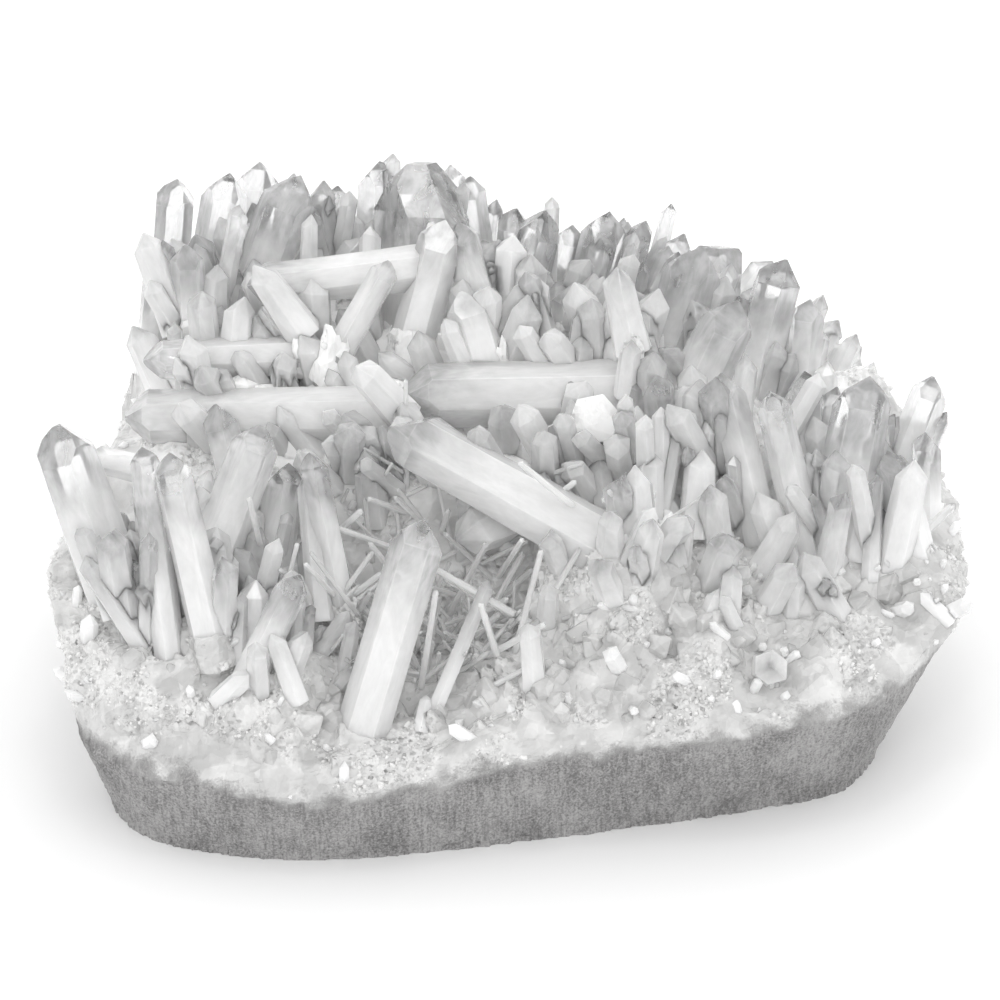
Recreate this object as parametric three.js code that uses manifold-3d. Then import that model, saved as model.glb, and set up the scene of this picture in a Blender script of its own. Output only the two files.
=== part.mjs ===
// A hand-sized quartz cluster that stands on its own sawn base: one milky matrix, and the
// crystals that grow out of it. Millimetres, +Z up, the low front edge faces -Y.
import * as THREE from "three";
import Module from "manifold-3d";

const wasm = await Module();
wasm.setup();

// How a quartz crystal is shaped.
const PRISM_SIDES = 6;
const TIP_SLOPE = THREE.MathUtils.degToRad(51.8); // of a tip face, from the plane across the axis
const TAPER = 0.07; // how much narrower the prism is at its tip end
const UNEVEN_SIDES = 0.16; // spread of the distances from the axis to the prism's sides
const UNEVEN_TIP = 0.38; // how far a minor tip face can stand back, in crystal radii
const TIP_SHIFT = 0.35; // spread of the places of the main tip faces, in crystal radii
const ROOT_LENGTH = 4; // of the part sunk in the matrix, unless a crystal states its own
const GAP = 0.3; // between neighbouring pieces

// How the matrix is shaped.
const SECTORS = 64; // around the matrix
const TOP_RINGS = 11; // from the rim to the centre
const TOP_CENTRE = new THREE.Vector2(0, 5);
const NEARNESS = 3.5; // how strongly the closest height mark pulls the top surface
const ROCK_LUMP = 1.1; // height of the crust's lumps
const SAWN_LUMP = 0.25; // of the sawn band, which is nearly smooth

// Outlines of the matrix as closed loops, from the front left corner round by the front, the
// right side, the back and the left side.
const BASE_OUTLINE = [
  [-49, -44], [-35, -50], [-20, -51], [3, -47], [16, -44], [32, -40], [46, -35],
  [53, -20], [52, 2], [44, 20], [25, 33], [0, 37], [-25, 36], [-45, 27], [-53, 5], [-54, -22],
];
const BAND_OUTLINE = [
  [-53, -46], [-38, -52], [-22, -54], [2, -49], [17, -47], [34, -46], [50, -39],
  [60, -24], [58, 2], [48, 22], [27, 37], [0, 41], [-27, 40], [-49, 30], [-57, 6], [-58, -24],
];
const BAND_HEIGHTS = [13, 12, 12, 15, 16, 16, 17, 18, 18, 16, 14, 14, 14, 15, 16, 16];
const RIM_OUTLINE = [
  [-54, -42], [-40, -48], [-23, -50], [2, -46], [18, -44], [35, -43], [54, -35],
  [63, -22], [61, 3], [50, 23], [29, 38], [0, 42], [-28, 42], [-50, 32], [-55, 8], [-60, -24],
];
const RIM_HEIGHTS = [19, 15, 14, 17, 18, 18, 19, 23, 28, 29, 29, 30, 30, 29, 27, 28];

// Heights that the top surface passes through: [x, y, height].
const TOP_MARKS = [
  // The left shoulder.
  [-50, -33, 24], [-40, -38, 24], [-29, -36, 23], [-53, -15, 31], [-50, 2, 34], [-49, 16, 35],
  // The hollow, with the lip in front of it and the wall behind it.
  [-20, -26, 18], [-9, -27, 14], [0, -24, 17], [-18, -43, 15], [-4, -41, 16], [-37, -43, 19],
  [-34, -20, 27], [-26, -10, 34], [-12, -9, 34], [3, -12, 34],
  // The plateau behind the hollow.
  [-38, 2, 39], [-20, 3, 40], [0, 4, 41], [16, 3, 39], [-30, 14, 42], [-8, 14, 44], [20, 12, 40],
  // The crest that carries the back row.
  [-44, 25, 40], [-32, 29, 44], [-22, 31, 46], [-10, 29, 46], [5, 28, 43], [20, 25, 40],
  [-28, 38, 37], [0, 38, 36], [26, 34, 34], [42, 20, 33],
  // The right side, and the sugary slope in front of it.
  [30, 16, 41], [28, 0, 38], [41, 8, 38], [47, -6, 33], [56, -8, 32],
  [15, -29, 37], [20, -27, 36], [10, -25, 33], [12, -20, 33], [23, -18, 33], [36, -18, 29], [46, -17, 28], [56, -18, 27],
  [8, -36, 21], [22, -38, 22], [28, -30, 27], [41, -32, 23], [52, -29, 22], [36, -40, 18],
];

// The crystals, region by region. Each one runs from its foot on the matrix to its tip. It can
// also state a roll about its own axis in degrees, how flat its section is, where 1 is even, and
// a chisel, which is half the length of the edge that its tip ends in.
const CRYSTALS = {
  lying_point: [
    { foot: [17, 0, 42], tip: [-14, -4, 43.5], width: 8.5, roll: 10, root: 2 },
    { foot: [14, -26, 33], tip: [-14.5, -16, 45.5], width: 8.7, roll: 5, root: 2 },
    { foot: [-14, -4, 41], tip: [-51, -4, 40.5], width: 7.4, roll: 0, root: 1 },
    { foot: [-28, 5, 45.5], tip: [-49, 3, 45.5], width: 5.5, roll: 12, root: 1 },
    { foot: [-9, 13, 55], tip: [-35, 9, 53.5], width: 6.2, roll: 8, root: 1 },
    { foot: [-22.5, 3, 46], tip: [-15, 6, 59], width: 3.9 },
  ],
  crown_point: [
    { foot: [-12.5, 8, 44], tip: [-7.5, 13, 62], width: 6, roll: 20 },
    { foot: [-1, 9, 44], tip: [-6, 13, 61.5], width: 5.2 },
    { foot: [-2.5, 3, 44], tip: [-5.5, 6, 54.5], width: 6.6 },
    { foot: [9, 12, 41], tip: [10.5, 14, 51.5], width: 6.4 },
    { foot: [22, 10, 38.5], tip: [17.5, 13, 51.5], width: 5.8 },
    { foot: [13.5, 0, 37], tip: [10.5, 3, 48.5], width: 4 },
    { foot: [3, -5, 36], tip: [1, -1, 47.5], width: 5.5 },
  ],
  back_left_point: [
    { foot: [-37, 19, 39.5], tip: [-28, 24, 63.5], width: 7.9, roll: 15 },
    { foot: [-42.5, 24, 37], tip: [-38, 27, 62.5], width: 6.6 },
    { foot: [-37.5, 30, 36], tip: [-34.5, 33, 61.5], width: 6.3 },
    { foot: [-48, 24, 36], tip: [-45.5, 28, 61], width: 6 },
    { foot: [-43, 12, 43], tip: [-43.5, 15, 57], width: 4.8 },
    { foot: [-50, 16, 32], tip: [-47.5, 20, 53.5], width: 5 },
    { foot: [-40, 14, 42.5], tip: [-36, 18, 62], width: 3 },
  ],
  back_ridge_point: [
    { foot: [-12, 20, 40.5], tip: [-11, 27, 64], width: 15, roll: 30, flatness: 0.7, chisel: 2.4 },
    { foot: [-18.5, 31, 42], tip: [-17.5, 34, 61], width: 5.2 },
    { foot: [-22, 30, 42], tip: [-23, 32, 58], width: 4.2 },
    { foot: [-27, 32, 41], tip: [-26.5, 34, 53], width: 5 },
    { foot: [-4.8, 35, 40], tip: [-7, 37, 59.2], width: 3.4 },
    { foot: [-2.5, 28, 42], tip: [-4.5, 31, 60], width: 4.7 },
    { foot: [0.5, 27, 41], tip: [2, 29, 56], width: 5.1 },
    { foot: [0.5, 21, 41], tip: [6.5, 24, 58], width: 6 },
    { foot: [6.5, 26, 38], tip: [10.5, 30, 53.5], width: 4.9 },
    { foot: [11, 22, 38], tip: [15.5, 27, 56.5], width: 6.3 },
    { foot: [15.5, 22, 37], tip: [20, 26, 55.5], width: 4.2 },
  ],
  right_crest_point: [
    { foot: [23.5, 11, 39], tip: [27.5, 15, 57], width: 8.2, roll: 10 },
    { foot: [29.5, 17, 38], tip: [30.8, 22, 53.4], width: 8.8, roll: 0, flatness: 0.85, chisel: 2.8 },
    { foot: [25, 0, 38], tip: [32.5, 4, 54], width: 7.4, roll: 25 },
    { foot: [34, 5, 38], tip: [39, 11, 57], width: 6.6, roll: 0 },
    { foot: [41.5, 4, 38], tip: [42.5, 8, 52.5], width: 4.6 },
    { foot: [45.5, -16, 27], tip: [49.5, -7, 48.5], width: 7.3 },
    { foot: [54, -8, 33], tip: [59, -4, 46.5], width: 5 },
    { foot: [58, -12, 28], tip: [57.5, -9, 41], width: 4.3 },
    { foot: [56, -18, 27], tip: [52, -13, 40.5], width: 5.2 },
  ],
  fan_point: [
    { foot: [36, -18, 26.5], tip: [30, -7, 49], width: 5.7 },
    { foot: [42, -21, 26], tip: [36, -12, 49], width: 4.7 },
    { foot: [42, -8, 31], tip: [41, -2, 46.5], width: 6 },
    { foot: [24, -11, 32], tip: [21, -6, 48], width: 4.4 },
    { foot: [19.5, -8, 33.5], tip: [18, -3, 47], width: 4.7 },
    { foot: [27.5, -3, 32], tip: [27.5, 2, 44], width: 5 },
  ],
  left_point: [
    { foot: [-50.5, -28, 26], tip: [-58, -22, 49], width: 9, roll: 15 },
    { foot: [-40, -28, 26], tip: [-31.5, -14, 44.5], width: 6.2 },
    { foot: [-37.5, -38, 26], tip: [-43, -28, 48.5], width: 5.4 },
    { foot: [-43, -38, 21.5], tip: [-46.5, -26, 48], width: 4 },
    { foot: [-21, -28, 24], tip: [-25, -20, 44], width: 4.2 },
    { foot: [-30.5, -22, 26], tip: [-28.5, -14, 39], width: 5.4 },
    { foot: [-34, -43, 20], tip: [-26, -36, 35], width: 4.2 },
    { foot: [-35.5, -12, 34], tip: [-38.5, -8, 44.5], width: 5.2 },
  ],
  front_point: [{ foot: [-18, -44, 15], tip: [-9.5, -34, 42], width: 6.9, roll: 20 }],
  rear_point: [
    { foot: [-22, 36, 33], tip: [-26, 45, 45], width: 6.5 },
    { foot: [6, 36, 32], tip: [5, 46, 43], width: 7 },
    { foot: [33, 28, 31], tip: [39, 36, 41], width: 6.4 },
    { foot: [-44, 33, 26], tip: [-51, 40, 34], width: 6 },
  ],
};

// Finishes: the matrix is milky, the crystals are clearer toward their tips.
const MILKY_QUARTZ = { color: 0xe4e2df, roughness: 0.55, metalness: 0 };
const CLEAR_QUARTZ = { color: 0xf2f4f6, roughness: 0.12, metalness: 0 };

// A repeatable number from 0 to 1 for a pair of whole numbers.
function chance(a, b) {
  const mixed = Math.sin(a * 127.1 + b * 311.7) * 43758.5453;
  return mixed - Math.floor(mixed);
}

function toManifold(geometry) {
  const vertProperties = new Float32Array(geometry.getAttribute("position").array);
  const triVerts = new Uint32Array(geometry.index.array);
  const mesh = new wasm.Mesh({ numProp: 3, vertProperties, triVerts });
  mesh.merge();
  return new wasm.Manifold(mesh);
}

function toGeometry(solid) {
  const mesh = solid.getMesh();
  const geometry = new THREE.BufferGeometry();
  geometry.setAttribute("position", new THREE.BufferAttribute(mesh.vertProperties, 3));
  geometry.setIndex(new THREE.BufferAttribute(mesh.triVerts, 1));
  return geometry.toNonIndexed();
}

// A cut can leave chips, so only the main body stays.
function largestBody(solid) {
  const bodies = solid.decompose();
  return bodies.reduce((best, body) => (body.volume() > best.volume() ? body : best));
}

// The corners of a prism section whose sides stand at the given distances from the axis.
function sectionCorners(distances) {
  const step = (2 * Math.PI) / PRISM_SIDES;
  return distances.map((here, side) => {
    const next = distances[(side + 1) % PRISM_SIDES];
    const along = (next - here * Math.cos(step)) / Math.sin(step);
    const angle = side * step;
    return new THREE.Vector2(
      here * Math.cos(angle) - along * Math.sin(angle),
      here * Math.sin(angle) + along * Math.cos(angle),
    );
  });
}

// One six-sided crystal standing on the origin, grown on all its faces by a margin.
function crystalSolid({ length, root, width, flatness, chisel, seed, margin }) {
  const radius = width / 2;
  const sides = [];
  for (let side = 0; side < PRISM_SIDES; side++) {
    const flat = side % 3 === 0 ? flatness : 1;
    sides.push(radius * flat * (1 + UNEVEN_SIDES * (0.4 - chance(seed, side))) + margin);
  }
  const height = root + length + 2 * margin;
  const prism = new THREE.ExtrudeGeometry(new THREE.Shape(sectionCorners(sides)), {
    depth: height,
    bevelEnabled: false,
    steps: 1,
  });
  prism.translate(0, 0, -root - margin);
  const places = prism.getAttribute("position");
  for (let i = 0; i < places.count; i++) {
    const narrowing = 1 - (TAPER * Math.max(0, places.getZ(i))) / length;
    places.setXY(i, places.getX(i) * narrowing, places.getY(i) * narrowing);
  }
  let solid = toManifold(mergedGeometry(prism));
  for (let side = 0; side < PRISM_SIDES; side++) {
    const angle = (side * 2 * Math.PI) / PRISM_SIDES;
    const luck = chance(seed, side + 9);
    const minor = side % 2 === 1;
    const uneven = radius * (minor ? UNEVEN_TIP * (0.4 + 0.6 * luck) : TIP_SHIFT * (0.6 - luck));
    const standBack = chisel > 0 ? chisel * Math.abs(Math.cos(angle)) : uneven;
    const inward = [
      -Math.sin(TIP_SLOPE) * Math.cos(angle),
      -Math.sin(TIP_SLOPE) * Math.sin(angle),
      -Math.cos(TIP_SLOPE),
    ];
    const offset = -(length * Math.cos(TIP_SLOPE) + standBack * Math.sin(TIP_SLOPE) + margin);
    solid = solid.trimByPlane(inward, offset);
  }
  return solid;
}

// Gives a geometry an index, so that its triangles share their corners.
function mergedGeometry(geometry) {
  const source = geometry.index ? geometry.toNonIndexed() : geometry;
  const places = source.getAttribute("position");
  const indexed = new THREE.BufferGeometry();
  indexed.setAttribute("position", places.clone());
  indexed.setIndex([...Array(places.count).keys()]);
  return indexed;
}

// The turn and place that stand a crystal on its foot and point it at its tip.
function crystalPlacement({ foot, tip, roll }) {
  const start = new THREE.Vector3(...foot);
  const axis = new THREE.Vector3(...tip).sub(start).normalize();
  const turn = new THREE.Quaternion().setFromUnitVectors(new THREE.Vector3(0, 0, 1), axis);
  const spin = new THREE.Quaternion().setFromAxisAngle(
    new THREE.Vector3(0, 0, 1),
    THREE.MathUtils.degToRad(roll),
  );
  const placement = new THREE.Matrix4().compose(
    start,
    turn.multiply(spin),
    new THREE.Vector3(1, 1, 1),
  );
  return placement;
}

// The height of the matrix's top at a place, drawn through the height marks.
function topHeight(x, y) {
  let total = 0;
  let weights = 0;
  for (const [markX, markY, height] of TOP_MARKS) {
    const distance = Math.hypot(x - markX, y - markY) + 0.5;
    const weight = 1 / distance ** NEARNESS;
    total += weight * height;
    weights += weight;
  }
  return total / weights;
}

// A closed loop through an outline, as evenly spaced places at the given heights.
function ringThrough(outline, heights) {
  const corners = outline.map(([x, y], i) => new THREE.Vector3(x, y, heights[i]));
  const loop = new THREE.CatmullRomCurve3(corners, true, "centripetal");
  const ring = [];
  for (let sector = 0; sector < SECTORS; sector++) {
    ring.push(loop.getPoint(sector / SECTORS));
  }
  return ring;
}

// Moves each place of a ring a little outward and upward, differently in every sector.
function roughen(ring, amount, seed) {
  return ring.map((place, sector) => {
    const outward = new THREE.Vector3(place.x, place.y, 0).normalize();
    outward.multiplyScalar(amount * (chance(sector, seed) - 0.5) * 2);
    outward.z = seed === 0 ? 0 : amount * (chance(sector, seed + 50) - 0.5);
    return place.clone().add(outward);
  });
}

function matrixSolid() {
  const flat = BASE_OUTLINE.map(() => 0);
  const rim = ringThrough(RIM_OUTLINE, RIM_HEIGHTS);
  const rings = [
    roughen(ringThrough(BASE_OUTLINE, flat), SAWN_LUMP, 0),
    roughen(ringThrough(BAND_OUTLINE, BAND_HEIGHTS), SAWN_LUMP, 1),
    roughen(rim, ROCK_LUMP, 2),
  ];
  for (let step = 1; step <= TOP_RINGS; step++) {
    const share = 1 - step / (TOP_RINGS + 1);
    const ring = rim.map((place) => {
      const x = TOP_CENTRE.x + (place.x - TOP_CENTRE.x) * share;
      const y = TOP_CENTRE.y + (place.y - TOP_CENTRE.y) * share;
      return new THREE.Vector3(x, y, topHeight(x, y));
    });
    rings.push(roughen(ring, ROCK_LUMP * share, step + 2));
  }
  const positions = [0, 0, 0];
  rings.flat().forEach((place) => positions.push(place.x, place.y, place.z));
  positions.push(TOP_CENTRE.x, TOP_CENTRE.y, topHeight(TOP_CENTRE.x, TOP_CENTRE.y));
  const last = positions.length / 3 - 1;
  const index = [];
  const corner = (ring, sector) => 1 + ring * SECTORS + (sector % SECTORS);
  for (let sector = 0; sector < SECTORS; sector++) {
    index.push(0, corner(0, sector + 1), corner(0, sector));
    for (let ring = 0; ring + 1 < rings.length; ring++) {
      const [a, b] = [corner(ring, sector), corner(ring, sector + 1)];
      const [c, d] = [corner(ring + 1, sector), corner(ring + 1, sector + 1)];
      index.push(a, b, d, a, d, c);
    }
    index.push(corner(rings.length - 1, sector), corner(rings.length - 1, sector + 1), last);
  }
  const geometry = new THREE.BufferGeometry();
  geometry.setAttribute("position", new THREE.Float32BufferAttribute(positions, 3));
  geometry.setIndex(index);
  return toManifold(geometry);
}

function namedMesh(name, solid, finish) {
  const mesh = new THREE.Mesh(toGeometry(solid), new THREE.MeshStandardMaterial(finish));
  mesh.geometry.computeVertexNormals();
  mesh.name = name;
  return mesh;
}

// Every crystal in growth order: a later one stops where it meets an earlier one.
function growCrystals() {
  const grown = [];
  let seed = 1;
  for (const [region, crystals] of Object.entries(CRYSTALS)) {
    crystals.forEach((crystal, i) => {
      const shape = {
        length: new THREE.Vector3(...crystal.foot).distanceTo(new THREE.Vector3(...crystal.tip)),
        root: crystal.root ?? ROOT_LENGTH,
        width: crystal.width,
        flatness: crystal.flatness ?? 0.92,
        chisel: crystal.chisel ?? 0,
        seed,
      };
      const roll = crystal.roll ?? 60 * chance(seed, 77);
      const placement = crystalPlacement({ ...crystal, roll }).elements;
      let solid = crystalSolid({ ...shape, margin: 0 }).transform(placement);
      for (const earlier of grown) solid = solid.subtract(earlier.socket);
      grown.push({
        name: `${region}_${i + 1}`,
        solid: largestBody(solid),
        socket: crystalSolid({ ...shape, margin: GAP }).transform(placement),
      });
      seed += 1;
    });
  }
  return grown;
}

const cluster = new THREE.Group();
cluster.name = "quartz_cluster";

const crystals = growCrystals();
let matrix = matrixSolid();
for (const { socket } of crystals) matrix = matrix.subtract(socket);
cluster.add(namedMesh("matrix", largestBody(matrix), MILKY_QUARTZ));
for (const { name, solid } of crystals) cluster.add(namedMesh(name, solid, CLEAR_QUARTZ));

// The origin is the middle of the whole cluster, on the plane it rests on.
const extent = new THREE.Box3().setFromObject(cluster);
const middle = extent.getCenter(new THREE.Vector3());
cluster.position.set(-middle.x, -middle.y, -extent.min.z);

export default cluster;
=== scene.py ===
"""A hand-sized quartz cluster: clear and milky crystals on a rough matrix with a sawn foot.

It is laid out as an add-on and run as a script. Lengths that a person would change are
properties in metres, other named lengths are in millimetres, and the front faces -Y.
"""

import math
import random

import bmesh
import bpy
from bpy.props import FloatProperty, FloatVectorProperty, IntProperty, PointerProperty
from mathutils import Matrix, Quaternion, Vector, noise
from mathutils.bvhtree import BVHTree
from mathutils.geometry import intersect_point_line


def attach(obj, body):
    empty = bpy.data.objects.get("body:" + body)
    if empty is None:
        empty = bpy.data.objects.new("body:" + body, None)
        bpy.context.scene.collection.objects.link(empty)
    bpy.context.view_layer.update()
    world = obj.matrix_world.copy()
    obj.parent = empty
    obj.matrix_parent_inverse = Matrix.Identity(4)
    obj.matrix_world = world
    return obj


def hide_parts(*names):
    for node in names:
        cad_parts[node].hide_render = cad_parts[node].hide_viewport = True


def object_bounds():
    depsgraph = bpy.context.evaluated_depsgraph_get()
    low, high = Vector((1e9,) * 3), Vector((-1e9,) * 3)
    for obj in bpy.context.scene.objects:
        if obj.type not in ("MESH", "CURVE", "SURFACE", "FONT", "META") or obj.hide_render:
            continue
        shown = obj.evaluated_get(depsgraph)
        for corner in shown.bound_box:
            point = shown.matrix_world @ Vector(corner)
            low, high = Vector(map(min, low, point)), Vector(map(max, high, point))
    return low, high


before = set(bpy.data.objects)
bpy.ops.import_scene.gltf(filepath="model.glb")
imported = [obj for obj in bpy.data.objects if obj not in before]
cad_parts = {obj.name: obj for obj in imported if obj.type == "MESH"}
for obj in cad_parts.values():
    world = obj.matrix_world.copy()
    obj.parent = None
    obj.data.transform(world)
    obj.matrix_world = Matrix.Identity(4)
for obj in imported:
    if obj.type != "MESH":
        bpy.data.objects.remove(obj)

bl_info = {
    "name": "Quartz Cluster",
    "version": (1, 0, 0),
    "blender": (4, 5, 0),
    "location": "View3D > Sidebar > Quartz",
    "description": "Builds a quartz crystal cluster around its packed solids",
    "category": "Object",
}

CAD_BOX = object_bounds()
MM = 0.001
BODY = "root"
MATRIX_NODE = "matrix"
ROCK_SLOT, CRYSTAL_SLOT = "milky_quartz", "clear_quartz"
POINT_NODES = sorted(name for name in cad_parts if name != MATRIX_NODE)
UP = Vector((0, 0, 1))

# How far up each group of crystals the milky core reaches, as a share of the length, then how
# milky its tips are and how milky its roots are, from 0, glass-clear, to 1.
CORES = {
    "lying_point": (0.93, 0.4, 0.68),
    "crown_point": (0.86, 0.36, 0.9),
    "back_left_point": (0.66, 0.22, 1),
    "back_ridge_point": (0.52, 0.16, 1),
    "right_crest_point": (0.6, 0.2, 1),
    "fan_point": (0.78, 0.2, 0.82),
    "left_point": (0.8, 0.2, 0.76),
    "front_point": (0.88, 0.26, 0.72),
    "rear_point": (0.6, 0.3, 1),
}
# How wide a core is, as a share of its crystal, and how uneven its skin is, in millimetres.
CORE_WIDTH, CORE_PUFF = 0.76, 0.35
QUARTZ_IOR = 1.54

# How far a crystal's root reaches into the matrix, in millimetres, where it isn't the usual.
ROOT_LENGTHS = {
    "lying_point_1": 2,
    "lying_point_2": 2,
    "lying_point_3": 1,
    "lying_point_4": 1,
    "lying_point_5": 1,
}
USUAL_ROOT = 4


def clamp(value):
    """Holds a number between 0 and 1."""
    return min(1.0, max(0.0, value))


def shade(colour, share):
    """A colour made darker or lighter, as a tuple."""
    return tuple(min(1.0, part * share) for part in colour)


class ClusterSizes(bpy.types.PropertyGroup):
    rock_grain: FloatProperty(
        name="Rock grain",
        description="Spacing of the matrix's surface points",
        default=0.00068,
        unit="LENGTH",
    )
    crust_relief: FloatProperty(
        name="Crust relief",
        description="Height of the lumps of the sugary crust",
        default=0.0012,
        unit="LENGTH",
    )
    edge_round: FloatProperty(
        name="Edge round",
        description="Width of the worn edges of the large crystals",
        default=0.00016,
        unit="LENGTH",
    )
    growth_step: FloatProperty(
        name="Growth step",
        description="How far the rings of growth stand in or out, as a share of the width",
        default=0.018,
    )
    core_grain: FloatProperty(
        name="Core grain",
        description="Spacing of the surface points of the milky cores",
        default=0.0008,
        unit="LENGTH",
    )
    needle_count: IntProperty(
        name="Needles",
        description="Number of needles in the hollow",
        default=170,
    )


class ClusterColours(bpy.types.PropertyGroup):
    clear: FloatVectorProperty(
        name="Clear quartz",
        description="Tint of the clear quartz",
        subtype="COLOR",
        default=(0.985, 0.987, 0.99),
    )
    milky: FloatVectorProperty(
        name="Milky quartz",
        description="Colour of the milky quartz",
        subtype="COLOR",
        default=(0.988, 0.987, 0.984),
    )
    crust: FloatVectorProperty(
        name="Crust",
        description="Colour of the sugary crust",
        subtype="COLOR",
        default=(0.82, 0.818, 0.812),
    )
    # The sawn band's colour is partly the cut rock's own grey and partly painted shade: the foot is
    # painted darker for the shade that falls on it.
    sawn: FloatVectorProperty(
        name="Sawn band",
        description="Colour of the sawn foot",
        subtype="COLOR",
        default=(0.265, 0.261, 0.26),
    )


# ---------------------------------------------------------------- materials


class Wire:
    """A socket that can be used in arithmetic: each operation adds its Math node."""

    def __init__(self, finish, socket):
        self.finish = finish
        self.socket = socket

    def maths(self, operation, first, second, limited=False):
        settings = {"operation": operation, "use_clamp": limited}
        return self.finish.out(self.finish.node("ShaderNodeMath", settings, {0: first, 1: second}))

    def __add__(self, other):
        return self.maths("ADD", self, other)

    def __sub__(self, other):
        return self.maths("SUBTRACT", self, other)

    def __rsub__(self, other):
        return self.maths("SUBTRACT", other, self)

    def __mul__(self, other):
        return self.maths("MULTIPLY", self, other)

    __radd__ = __add__
    __rmul__ = __mul__

    def clamped(self):
        return self.maths("ADD", self, 0.0, limited=True)

    def between(self, low, high):
        """0 below low, 1 above high, and a smooth rise between them."""
        made = self.finish.node(
            "ShaderNodeMapRange",
            {"interpolation_type": "SMOOTHSTEP"},
            {"Value": self, "From Min": low, "From Max": high},
        )
        return self.finish.out(made, "Result")


# Where a Mix node keeps its two colours, and the colour that comes out.
MIX_LOW, MIX_HIGH, MIX_OUT = 6, 7, 2


class Finish:
    """The nodes of a material or a world, and short ways to add to them."""

    def __init__(self, name, store=None):
        self.owner = (bpy.data.materials if store is None else store).new(name)
        self.owner.use_nodes = True
        self.tree = self.owner.node_tree
        self.tree.nodes.clear()

    def node(self, kind, settings=None, sockets=None):
        """A node of a kind, with its settings, and values or wires for its sockets."""
        made = self.tree.nodes.new(kind)
        for name, value in (settings or {}).items():
            setattr(made, name, value)
        for name, value in (sockets or {}).items():
            entry = made.inputs[name]
            if isinstance(value, Wire):
                self.tree.links.new(value.socket, entry)
            elif entry.type == "RGBA":
                entry.default_value = (*value, 1)
            else:
                entry.default_value = value
        return made

    def out(self, made, name=0):
        return Wire(self, made.outputs[name])

    def places(self, scale=(1, 1, 1)):
        """Object coordinates in millimetres, stretched."""
        where = self.out(self.node("ShaderNodeTexCoord"), "Object")
        stretched = tuple(part / MM for part in scale)
        return self.out(self.node("ShaderNodeMapping", None, {"Vector": where, "Scale": stretched}))

    def clouds(self, where, size, detail, rough, warp):
        """Soft noise whose lumps are about size across."""
        sockets = {
            "Vector": where,
            "Scale": 1 / size,
            "Detail": detail,
            "Roughness": rough,
            "Distortion": warp,
        }
        return self.out(self.node("ShaderNodeTexNoise", None, sockets), "Fac")

    def grain(self, size, scale=(1, 1, 1), detail=3.0, rough=0.55, warp=0.0):
        """Soft noise over an object, with its size in millimetres."""
        return self.clouds(self.places(scale), size, detail, rough, warp)

    def streaks(self, size, stretch, detail=4.0, warp=0.6):
        """Soft noise drawn out along the axis of each crystal."""
        grown = self.out(self.node("ShaderNodeAttribute", {"attribute_name": "grown"}), "Vector")
        stretched = {"Vector": grown, "Scale": (1, 1, 1 / stretch)}
        where = self.out(self.node("ShaderNodeMapping", None, stretched))
        return self.clouds(where, size, detail, 0.58, warp)

    def cells(self, size, output="Distance"):
        """A patchwork of cells: how far the middle of each is, or a random colour for each."""
        sockets = {"Vector": self.places(), "Scale": 1 / size}
        return self.out(self.node("ShaderNodeTexVoronoi", None, sockets), output)

    def attribute(self, name):
        return self.out(self.node("ShaderNodeAttribute", {"attribute_name": name}), "Fac")

    def blend(self, share, low, high):
        """A colour that goes from low to high as share goes from 0 to 1."""
        sockets = {0: share, MIX_LOW: low, MIX_HIGH: high}
        return self.out(self.node("ShaderNodeMix", {"data_type": "RGBA"}, sockets), MIX_OUT)

    def vectors(self, operation, sockets):
        return self.out(self.node("ShaderNodeVectorMath", {"operation": operation}, sockets))

    def facets(self, size, tilt, base=None):
        """A normal that is flat over each of many small cells and turned at random in each."""
        turned = self.vectors("SUBTRACT", {0: self.cells(size, "Color"), 1: (0.5, 0.5, 0.5)})
        scaled = self.vectors("SCALE", {0: turned, "Scale": tilt})
        base = base or self.out(self.node("ShaderNodeNewGeometry"), "Normal")
        return self.vectors("NORMALIZE", {0: self.vectors("ADD", {0: base, 1: scaled})})

    def bump(self, height, distance, strength, base=None):
        """Distance is in millimetres, and base is a normal to start from."""
        sockets = {"Height": height, "Distance": distance * MM, "Strength": strength}
        if base:
            sockets["Normal"] = base
        return self.out(self.node("ShaderNodeBump", None, sockets))

    def body(self, colour, rough, **more):
        """The main shader, with any more of its sockets by name."""
        sockets = {"Base Color": colour, "Roughness": rough}
        sockets.update((name.replace("_", " "), value) for name, value in more.items())
        return self.node("ShaderNodeBsdfPrincipled", None, sockets)

    def glass(self, colour, rough, bump):
        """Clear quartz."""
        return self.body(colour, rough, IOR=QUARTZ_IOR, Transmission_Weight=1.0, Normal=bump)

    def milk(self, colour, rough, depth, bump):
        """Milky quartz that light enters to a depth in millimetres."""
        return self.body(
            colour,
            rough,
            IOR=QUARTZ_IOR,
            Subsurface_Weight=1.0,
            Subsurface_Radius=(1.0, 1.0, 1.0),
            Subsurface_Scale=depth * MM,
            Normal=bump,
        )

    def show(self, shader, kind="ShaderNodeOutputMaterial"):
        self.node(kind, None, {"Surface": self.out(shader)})
        return self.owner

    def layers(self, share, under, over):
        """Two shaders, one over the other by a share from 0 to 1."""
        sockets = {0: share.clamped(), 1: self.out(under), 2: self.out(over)}
        return self.show(self.node("ShaderNodeMixShader", None, sockets))


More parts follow.
